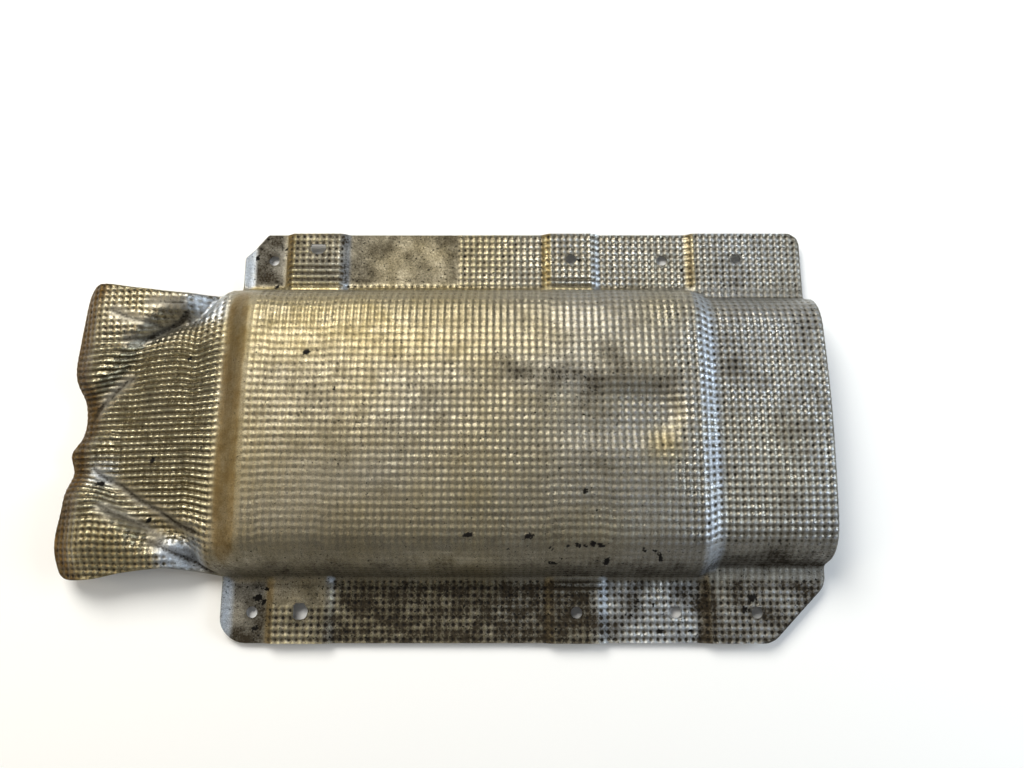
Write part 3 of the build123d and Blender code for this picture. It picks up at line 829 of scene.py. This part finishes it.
def sheetMaterial():
    # dull aluminium under a thin warm film, with painted warm and cool reflections, painted highlights on the
    # lattice's crossings, grime and painted shade in the pits of the lattice and fine black specks
    material = bpy.data.materials.new("embossedAluminium")
    nodes = nodeMaker(material)
    place = nodes.add("ShaderNodeTexCoord").outputs["Object"]
    u, v, strength = nodes.meshValues("lattice")
    grimeAndShadeShare, tintAndSheenShare, coolSheenShare = nodes.meshValues("filmAndPaintedLight")
    mark, rows, brownAndShadeShare = nodes.meshValues("touch")

    # the same lattice as the pressed form's: a net of ridges, highest where they cross, or rows alone
    crestU, crestV = (
        nodes.math("MULTIPLY_ADD", nodes.math("COSINE", nodes.math("MULTIPLY", turns, 2 * math.pi)), 0.5, 0.5)
        for turns in (u, v)
    )
    crossing = nodes.math("MULTIPLY", crestU, crestV)
    net = nodes.math("SUBTRACT", nodes.math("ADD", crestU, crestV), crossing)
    net = nodes.math("MULTIPLY_ADD", crossing, 0.45, nodes.math("MULTIPLY", net, 0.55))
    row = nodes.math("MULTIPLY", crestV, nodes.math("MULTIPLY_ADD", crestU, 0.25, 0.75))
    bump = nodes.math("MULTIPLY_ADD", nodes.math("SUBTRACT", row, net), rows, net)
    hollow = nodes.ranged(bump, 0.05, 0.50, 1.0, 0.0)
    pit = nodes.math("MULTIPLY", hollow, nodes.ranged(strength, 0.2, 0.85))
    # where the painted highlight goes: the lattice's crossings
    tipHighlight = nodes.ranged(nodes.math("MULTIPLY_ADD", rows, 0.2, bump), 0.66, 0.96)
    tipHighlight = nodes.math("MULTIPLY", tipHighlight, nodes.ranged(strength, 0.25, 0.9))

    patchy = nodes.noise(place, 18.0, 4.0)
    blotchy = nodes.noise(place, 90.0, 5.0, 0.6)
    grainy = nodes.noise(place, 700.0, 3.0, 0.6)
    fine = nodes.noise(place, 1500.0, 2.0, 0.6)

    baseAndSheen = nodes.mix(nodes.ranged(patchy, 0.35, 0.65), finish["bareMetal"], finish["dullMetal"])
    # heat tint and painted warm reflection
    tintedAndSheen = nodes.math("MULTIPLY", tintAndSheenShare, nodes.ranged(blotchy, 0.3, 0.7, 0.65, 1.0))
    baseAndSheen = nodes.mix(tintedAndSheen, baseAndSheen, finish["warmTintAndSheen"])
    # painted highlight on the lattice's crossings, cool or warm
    tipHighlightColour = nodes.mix(nodes.ranged(tintAndSheenShare, 0.15, 0.45), finish["coolHighlight"], finish["paleGold"])
    baseAndSheen = nodes.mix(nodes.math("MULTIPLY", tipHighlight, 0.75), baseAndSheen, tipHighlightColour)
    # painted cool reflection, kept out of the pits
    coolSheenCover = nodes.math("MULTIPLY", coolSheenShare, nodes.ranged(blotchy, 0.3, 0.6, 0.5, 1.0))
    coolSheenCover = nodes.math("MULTIPLY", coolSheenCover, nodes.math("MULTIPLY_ADD", pit, -0.9, 1.0), clamp=True)
    baseAndSheen = nodes.mix(coolSheenCover, baseAndSheen, finish["coolHighlight"])
    # brown at the skirt's rim and painted warm shade on slopes that face the gathered end
    brownedAndShaded = nodes.math("ADD", brownAndShadeShare, nodes.ranged(blotchy, 0.3, 0.7, -0.25, 0.25))
    brownedAndShaded = nodes.math("MULTIPLY", brownedAndShaded, nodes.ranged(brownAndShadeShare, 0.0, 0.3), clamp=True)
    baseAndSheen = nodes.mix(brownedAndShaded, baseAndSheen, finish["brownStainAndShade"])
    # a thin dark film with painted shade in every pit and a fine grain of dirt all over, both broken by the
    # noise
    pitShadeAndGrain = nodes.math("MULTIPLY", pit, nodes.ranged(grainy, 0.3, 0.7, 0.5, 1.0))
    pitShadeAndGrain = nodes.math("MAXIMUM", pitShadeAndGrain, nodes.ranged(fine, 0.38, 0.72, 0.0, 0.6), clamp=True)
    baseAndSheen = nodes.mix(pitShadeAndGrain, baseAndSheen, finish["pitDirtAndShade"])
    # heavy grime, with the painted shade in its share: more where its share is high, where the noise is high
    # and in the pits
    soilAndShade = nodes.math("MULTIPLY_ADD", grimeAndShadeShare, 1.15, nodes.ranged(blotchy, 0.3, 0.75, -0.45, 0.45))
    soilAndShade = nodes.math("ADD", soilAndShade, nodes.ranged(grainy, 0.3, 0.7, -0.3, 0.3))
    cover = nodes.math("MULTIPLY_ADD", pit, 0.6, nodes.ranged(grimeAndShadeShare, 0.55, 1.05, 0.42, 0.8))
    soilAndShade = nodes.math("MULTIPLY", soilAndShade, cover, clamp=True)
    colour = nodes.mix(soilAndShade, baseAndSheen, finish["grimeAndShade"])
    # black specks: some stray, more of them filling single pits where the grime is heavy
    speck = nodes.math("MULTIPLY_ADD", grimeAndShadeShare, 0.07, nodes.noise(place, 520.0, 3.0, 0.6))
    speck = nodes.ranged(speck, 0.668, 0.71)
    filled = nodes.math("MULTIPLY_ADD", grimeAndShadeShare, 0.22, nodes.noise(place, 230.0, 2.0, 0.6))
    filled = nodes.ranged(filled, 0.61, 0.72)
    filled = nodes.math("MULTIPLY", filled, nodes.ranged(bump, 0.12, 0.34, 0.9, 0.0))
    filled = nodes.math("MULTIPLY", filled, nodes.ranged(strength, 0.35, 0.7))
    filled = nodes.math("MULTIPLY", filled, nodes.ranged(rows, 0.1, 0.5, 1.0, 0.15))
    speck = nodes.math("MAXIMUM", speck, filled)
    stain = nodes.math("ADD", nodes.math("MULTIPLY", mark, 1.3), nodes.ranged(grainy, 0.3, 0.7, -0.6, 0.3))
    black = nodes.math("MAXIMUM", speck, nodes.ranged(stain, 0.45, 0.6))
    colour = nodes.mix(black, colour, finish["soot"])
    nodes.feed(nodes.shader.inputs["Base Color"], colour)
    dirtAndShade = nodes.math("MAXIMUM", soilAndShade, black)
    nodes.feed(nodes.shader.inputs["Metallic"], nodes.ranged(dirtAndShade, 0.0, 1.0, 0.95, 0.0))
    nodes.shader.inputs["Specular IOR Level"].default_value = 0.12
    rough = nodes.math("ADD", nodes.ranged(dirtAndShade, 0.0, 1.0, finish["roughness"], 0.7),
                       nodes.ranged(grainy, 0.3, 0.7, -0.06, 0.08))
    rough = nodes.math("ADD", rough, nodes.ranged(strength, 0.0, 0.7, 0.22, 0.0))
    nodes.feed(nodes.shader.inputs["Roughness"], rough)
    # the bump raises the lattice's own relief, more where rows or columns lead, with a fine grain on it
    deeper = nodes.math("MULTIPLY_ADD", nodes.math("ABSOLUTE", rows), 0.6, 1.0)
    relief = nodes.math("MULTIPLY", nodes.math("MULTIPLY", bump, strength), deeper)
    relief = nodes.math("ADD", relief, nodes.math("MULTIPLY", fine, 0.3))
    relief = nodes.math("ADD", relief, nodes.math("MULTIPLY", grainy, 0.25))
    bumpNode = nodes.add("ShaderNodeBump", {"Height": relief, "Strength": 1.0, "Distance": 0.0008})
    nodes.feed(nodes.shader.inputs["Normal"], bumpNode.outputs["Normal"])
    return material


def makeSheet():
    sheet = bpy.data.objects.new("embossedSheet", sheetMesh(form["pitch"] / 3, form["pitch"] / 2))
    bpy.context.scene.collection.objects.link(sheet)
    print("sheet pressed", len(sheet.data.polygons), "faces")
    cutBy(sheet, prism("outlineCutter", [outlinePoints()], -20.0, 80.0), "INTERSECT")
    cutBy(sheet, prism("holeCutter", holeLoops(), -15.0, 75.0), "DIFFERENCE")
    mesh = sheet.data
    addFilmAndLight(mesh)
    mesh.polygons.foreach_set("use_smooth", np.ones(len(mesh.polygons), bool))
    mesh.set_sharp_from_angle(angle=math.radians(58))
    mesh.materials.clear()
    mesh.materials.append(sheetMaterial())
    mesh.name = "embossedSheet"
    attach(sheet, "root")
    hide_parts("heat_shield")
    return sheet


studio = {
    "floorZ": -4.0,  # in millimetres, below the rest plane, so that the holes look dark
    "floorReach": 6.0,  # in metres
    "floorColour": (0.93, 0.93, 0.925, 1.0),
    "floorShade": (0.945, 0.945, 0.94, 1.0),
    "floorGlow": 0.02,  # seen by the camera alone
    "world": 0.17,
    "lamps": [
        # name, place and aim in metres, size, watts, colour
        ("key", (-0.50, 0.95, 1.15), (0.0, 0.05, 0.0), 0.85, 27.0, (1.0, 0.975, 0.91)),
        ("coolFill", (1.25, 0.05, 0.65), (0.0, 0.0, 0.0), 0.7, 11.0, (0.80, 0.90, 1.0)),
        ("warmFill", (-1.25, -0.1, 0.75), (0.0, 0.0, 0.0), 0.7, 4.0, (1.0, 0.85, 0.6)),
    ],
}


def makeStudio():
    mesh = bpy.data.meshes.new("floor")
    reach, z = studio["floorReach"], studio["floorZ"] * mm
    corners = [(-reach, -reach, z), (reach, -reach, z), (reach, reach, z), (-reach, reach, z)]
    mesh.from_pydata(corners, [], [(0, 1, 2, 3)])
    floor = bpy.data.objects.new("floor", mesh)
    bpy.context.scene.collection.objects.link(floor)
    material = bpy.data.materials.new("paleFloor")
    nodes = nodeMaker(material)
    place = nodes.add("ShaderNodeTexCoord").outputs["Object"]
    nodes.feed(nodes.shader.inputs["Base Color"], nodes.mix(
        nodes.noise(place, 3.0), studio["floorColour"], studio["floorShade"]))
    nodes.shader.inputs["Roughness"].default_value = 0.9
    nodes.shader.inputs["Specular IOR Level"].default_value = 0.1
    seen = nodes.add("ShaderNodeLightPath").outputs["Is Camera Ray"]
    nodes.shader.inputs["Emission Color"].default_value = (1.0, 1.0, 1.0, 1.0)
    nodes.feed(nodes.shader.inputs["Emission Strength"], nodes.math("MULTIPLY", seen, studio["floorGlow"]))
    mesh.materials.append(material)
    world = bpy.data.worlds.new("studioWorld")
    bpy.context.scene.world = world
    world.use_nodes = True
    background = world.node_tree.nodes["Background"]
    background.inputs["Color"].default_value = (1.0, 1.0, 1.0, 1.0)
    background.inputs["Strength"].default_value = studio["world"]
    for name, place, aim, size, watts, colour in studio["lamps"]:
        lamp = bpy.data.lights.new(name, "AREA")
        lamp.size = size
        lamp.energy = watts
        lamp.color = colour
        holder = bpy.data.objects.new(name, lamp)
        holder.location = place
        away = np.array(place) - np.array(aim)
        away = away / np.linalg.norm(away)
        holder.rotation_euler = (math.acos(away[2]), 0.0, math.atan2(away[1], away[0]) + math.pi / 2)
        bpy.context.scene.collection.objects.link(holder)


camera = {
    "place": (34.3, -81.6, 570.0),  # millimetres
    "tilt": 11.47,  # degrees from straight down, towards +Y
    "lens": 27.035,
    "sensor": 36.0,
}


def makeCamera():
    view = bpy.data.cameras.new("photoView")
    view.lens = camera["lens"]
    view.sensor_width = camera["sensor"]
    view.clip_start = 0.01
    holder = bpy.data.objects.new("photoView", view)
    holder.location = [value * mm for value in camera["place"]]
    holder.rotation_euler = (math.radians(camera["tilt"]), 0.0, 0.0)
    bpy.context.scene.collection.objects.link(holder)
    bpy.context.scene.camera = holder


makeCamera()
makeStudio()
print("camera and studio set")
sheet = makeSheet()
print("sheet finished", len(sheet.data.polygons), "faces")
bpy.context.scene.view_settings.view_transform = "Standard"
